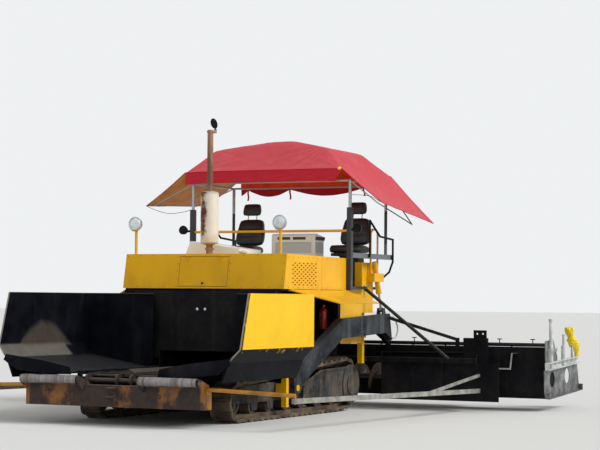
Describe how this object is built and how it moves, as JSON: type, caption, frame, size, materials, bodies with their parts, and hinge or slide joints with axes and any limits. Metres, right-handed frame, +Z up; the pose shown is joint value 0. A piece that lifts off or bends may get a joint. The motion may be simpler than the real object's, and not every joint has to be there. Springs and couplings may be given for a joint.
{
  "type": "tracked asphalt paver",
  "caption": "Tracked asphalt paver with folding hopper wings, slat conveyor, augers, tow arms and a wide floating screed under a cloth canopy.",
  "frame": {"origin": "middle of the machine's footprint on the ground", "axes": "+X forwards to the push rollers, +Y to the machine's left, +Z up"},
  "size_m": [7.373, 7.319, 3.9813],
  "materials": {
    "frame_black": "dusty black paint",
    "beam_paint": "rusty black paint with orange patches",
    "worn_steel": "worn bright steel",
    "engine_grey": "dusty cast iron",
    "yellow_paint": "warm yellow gloss paint, a little dusty",
    "deck_plate": "grey tread plate",
    "console_grey": "light grey paint",
    "white_paint": "white paint",
    "signal_red": "red paint",
    "seat_vinyl": "black vinyl",
    "post_slate": "dark slate paint, light steel tubes",
    "canopy_cloth": "red coated cloth",
    "rail_black": "black paint",
    "lamp_chrome": "chrome shell with clear lens",
    "muffler_white": "off-white heat paint with rust",
    "track_steel": "dusty brown steel",
    "guard_grey": "dusty grey paint",
    "bar_grey": "pale grey paint",
    "tube_orange": "rusty orange-yellow paint",
    "hopper_black": "worn black paint with asphalt dust",
    "lip_rubber": "black rubber",
    "arm_grey": "weathered blue-grey paint",
    "screed_black": "black paint with asphalt film",
    "gate_zinc": "galvanised grey, stained",
    "gear_white": "white paint, chipped",
    "cover_yellow": "bright yellow cloth wrap",
    "rod_chrome": "chromed rod",
    "auger_steel": "dark worn steel"
  },
  "bodies": {
    "tractor": {"main_frame": "frame_black", "push_beam": "beam_paint", "conveyor": "worn_steel", "body_frame": "frame_black", "engine_block": "engine_grey", "extinguisher": "signal_red", "hood_shell": "yellow_paint", "roof_box": "white_paint", "filler_cap": "muffler_white", "rear_body": "yellow_paint", "platform": "deck_plate", "console": "console_grey", "seat_bases": "deck_plate", "seat_left": "seat_vinyl", "seat_right": "seat_vinyl", "canopy_posts": "post_slate", "canopy_frame": "post_slate", "canopy_cover": "canopy_cloth", "front_rail": "yellow_paint", "side_rails": "rail_black", "lamps": "lamp_chrome", "work_lamps": "rail_black", "exhaust": "muffler_white", "lift_towers": "yellow_paint", "track_left": "track_steel", "track_right": "track_steel", "track_frames": "guard_grey", "track_wheels": "track_steel", "track_guards": "guard_grey", "auger_frame": "frame_black", "auger_ends": "frame_black", "auger_case": "frame_black", "braces": "bar_grey", "cross_tube": "tube_orange", "tow_brackets": "yellow_paint"},
    "wing_left": {"wing_left": "hopper_black", "wing_panel_left": "yellow_paint", "wing_lip_left": "lip_rubber"},
    "wing_right": {"wing_right": "hopper_black", "wing_panel_right": "yellow_paint", "wing_lip_right": "lip_rubber"},
    "push_roller_left": {"push_roller_left": "worn_steel"},
    "push_roller_right": {"push_roller_right": "worn_steel"},
    "hood_hatch": {"hood_hatch": "yellow_paint"},
    "side_flap_left": {"side_flap_left": "yellow_paint"},
    "side_flap_right": {"side_flap_right": "yellow_paint"},
    "rain_cap": {"rain_cap": "rail_black"},
    "screed": {"tow_arms": "arm_grey", "screed_body": "screed_black", "screed_brackets": "screed_black", "screed_rails": "screed_black", "walkway": "deck_plate", "end_gates": "gate_zinc", "gate_gear": "gear_white", "sensor_cover": "cover_yellow"},
    "lift_rod_left": {"lift_rod_left": "rod_chrome"},
    "lift_rod_right": {"lift_rod_right": "rod_chrome"},
    "auger_left": {"auger_left": "auger_steel"},
    "auger_right": {"auger_right": "auger_steel"}
  },
  "joints": [
    {"name": "wing_left_fold", "type": "hinge", "parent": "tractor", "child": "wing_left", "pos_m": [2.44748, 0.6, 0.622], "axis": [1, 0, 0], "range_deg": [0, 38]},
    {"name": "wing_right_fold", "type": "hinge", "parent": "tractor", "child": "wing_right", "pos_m": [2.44748, -0.6, 0.622], "axis": [-1, 0, 0], "range_deg": [0, 38]},
    {"name": "push_roller_left_spin", "type": "hinge", "parent": "tractor", "child": "push_roller_left", "pos_m": [3.63049, 0.835, 0.545], "axis": [0, 1, 0], "continuous": true},
    {"name": "push_roller_right_spin", "type": "hinge", "parent": "tractor", "child": "push_roller_right", "pos_m": [3.63049, -0.835, 0.545], "axis": [0, 1, 0], "continuous": true},
    {"name": "hood_hatch_open", "type": "hinge", "parent": "tractor", "child": "hood_hatch", "pos_m": [1.29548, 0, 2.09], "axis": [0, -1, 0], "range_deg": [0, 80]},
    {"name": "side_flap_left_close", "type": "hinge", "parent": "tractor", "child": "side_flap_left", "pos_m": [0.34748, 1.222, 1.651], "axis": [-1, 0, 0], "range_deg": [0, 59]},
    {"name": "side_flap_right_close", "type": "hinge", "parent": "tractor", "child": "side_flap_right", "pos_m": [0.34748, -1.222, 1.651], "axis": [1, 0, 0], "range_deg": [0, 59]},
    {"name": "rain_cap_close", "type": "hinge", "parent": "tractor", "child": "rain_cap", "pos_m": [0.47136, -0.3045, 3.832], "axis": [0.4226, 0.9063, 0], "range_deg": [0, 72]},
    {"name": "screed_lift", "type": "hinge", "parent": "tractor", "child": "screed", "pos_m": [1.02748, 1.14, 0.39], "axis": [0, 1, 0], "range_deg": [-2.9, 3]},
    {"name": "lift_rod_left_slide", "type": "slide", "parent": "tractor", "child": "lift_rod_left", "axis": [0.3401, 0, 0.9404], "range_m": [-0.1532, 0.1584]},
    {"name": "lift_rod_right_slide", "type": "slide", "parent": "tractor", "child": "lift_rod_right", "axis": [0.3401, 0, 0.9404], "range_m": [-0.1532, 0.1584]},
    {"name": "auger_left_spin", "type": "hinge", "parent": "tractor", "child": "auger_left", "pos_m": [-1.88251, 1.3, 0.45], "axis": [0, 1, 0], "continuous": true},
    {"name": "auger_right_spin", "type": "hinge", "parent": "tractor", "child": "auger_right", "pos_m": [-1.88251, -1.3, 0.45], "axis": [0, 1, 0], "continuous": true}
  ],
  "couplings": [
    {"joint": "lift_rod_left_slide", "follows": "screed_lift", "m_per_rad": 2.9679},
    {"joint": "lift_rod_right_slide", "follows": "screed_lift", "m_per_rad": 2.9679}
  ]
}
